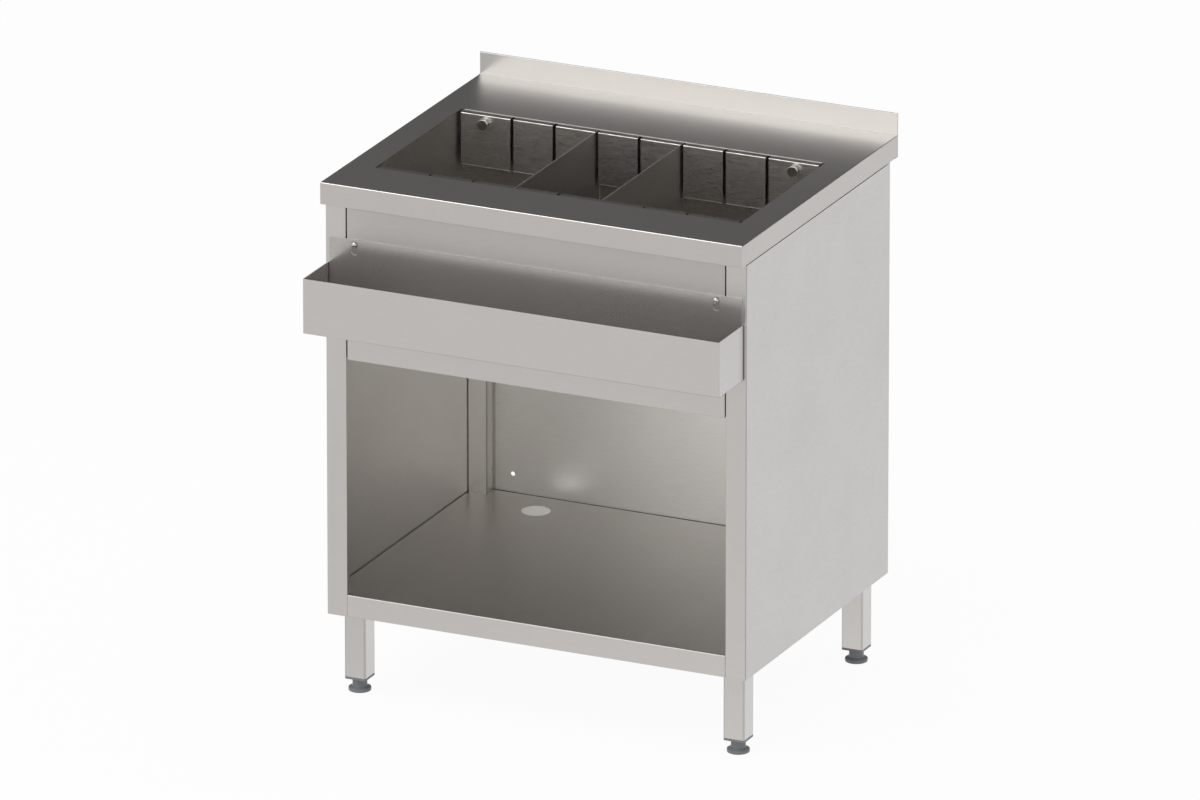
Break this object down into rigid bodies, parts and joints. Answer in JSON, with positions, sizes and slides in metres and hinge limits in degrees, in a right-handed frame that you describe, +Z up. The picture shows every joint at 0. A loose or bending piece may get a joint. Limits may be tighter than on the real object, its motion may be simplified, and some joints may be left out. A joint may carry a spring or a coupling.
{
  "type": "bar station with ice bin",
  "caption": "Free-standing stainless bar station: sunken insulated ice bin with slotted racks and lift-out dividers, hung bottle rail, open cabinet and levelling feet.",
  "frame": {"origin": "on the floor, midway across the width and midway along the whole depth, rail included", "axes": "+Z up, +X to the user's right when the user faces the station, +Y from the front to the rear"},
  "size_m": [0.8, 0.731, 0.99],
  "materials": {
    "worktop_steel": "satin brushed stainless steel",
    "cabinet_steel": "satin brushed stainless steel",
    "bin_steel": "satin stainless steel",
    "galvanised_steel": "bare zinc coating, matt",
    "fastener_steel": "plain bright stainless steel",
    "board": "raw moisture-proof chipboard",
    "foam": "rigid cut foam",
    "plastic": "moulded blue-grey plastic",
    "rubber": "soft black rubber"
  },
  "bodies": {
    "cabinet": {"worktop": "worktop_steel", "worktop_board_front": "board", "worktop_board_rear": "board", "worktop_bearer_left": "galvanised_steel", "worktop_bearer_right": "galvanised_steel", "worktop_bolts": "fastener_steel", "worktop_nuts": "fastener_steel", "side_panel_left": "cabinet_steel", "side_panel_right": "cabinet_steel", "rear_post_left": "cabinet_steel", "rear_post_right": "cabinet_steel", "front_panel": "cabinet_steel", "rear_panel": "cabinet_steel", "bottom_shelf": "cabinet_steel", "shelf_stiffener_front": "galvanised_steel", "shelf_stiffener_rear": "galvanised_steel", "leg_bolts": "fastener_steel", "leg_nuts": "fastener_steel", "ice_bin": "bin_steel", "bin_foam": "foam", "bin_jacket": "galvanised_steel", "drain_body": "bin_steel", "drain_gasket": "rubber", "drain_strainer": "bin_steel", "drain_nut": "fastener_steel", "rack_front": "bin_steel", "rack_rear": "bin_steel", "rack_studs": "fastener_steel", "rack_buttons": "fastener_steel", "rail_bolts": "fastener_steel", "rail_nuts": "fastener_steel", "leg_front_left": "cabinet_steel", "leg_plug_front_left": "plastic", "leg_front_right": "cabinet_steel", "leg_plug_front_right": "plastic", "leg_rear_left": "cabinet_steel", "leg_plug_rear_left": "plastic", "leg_rear_right": "cabinet_steel", "leg_plug_rear_right": "plastic"},
    "divider_left": {"divider_left": "bin_steel"},
    "divider_right": {"divider_right": "bin_steel"},
    "speed_rail": {"speed_rail": "cabinet_steel"},
    "foot_front_left": {"foot_front_left": "plastic", "foot_stud_front_left": "fastener_steel"},
    "foot_front_right": {"foot_front_right": "plastic", "foot_stud_front_right": "fastener_steel"},
    "foot_rear_left": {"foot_rear_left": "plastic", "foot_stud_rear_left": "fastener_steel"},
    "foot_rear_right": {"foot_rear_right": "plastic", "foot_stud_rear_right": "fastener_steel"}
  },
  "joints": [
    {"name": "divider_left_lift", "type": "slide", "parent": "cabinet", "child": "divider_left", "axis": [0, 0, 1], "range_m": [0, 0.258]},
    {"name": "divider_right_lift", "type": "slide", "parent": "cabinet", "child": "divider_right", "axis": [0, 0, 1], "range_m": [0, 0.258]},
    {"name": "speed_rail_lift", "type": "slide", "parent": "cabinet", "child": "speed_rail", "axis": [0, 0, 1], "range_m": [0, 0.0125]},
    {"name": "foot_front_left_screw", "type": "slide", "parent": "cabinet", "child": "foot_front_left", "axis": [0, 0, -1], "range_m": [0, 0.025]},
    {"name": "foot_front_right_screw", "type": "slide", "parent": "cabinet", "child": "foot_front_right", "axis": [0, 0, -1], "range_m": [0, 0.025]},
    {"name": "foot_rear_left_screw", "type": "slide", "parent": "cabinet", "child": "foot_rear_left", "axis": [0, 0, -1], "range_m": [0, 0.025]},
    {"name": "foot_rear_right_screw", "type": "slide", "parent": "cabinet", "child": "foot_rear_right", "axis": [0, 0, -1], "range_m": [0, 0.025]}
  ]
}
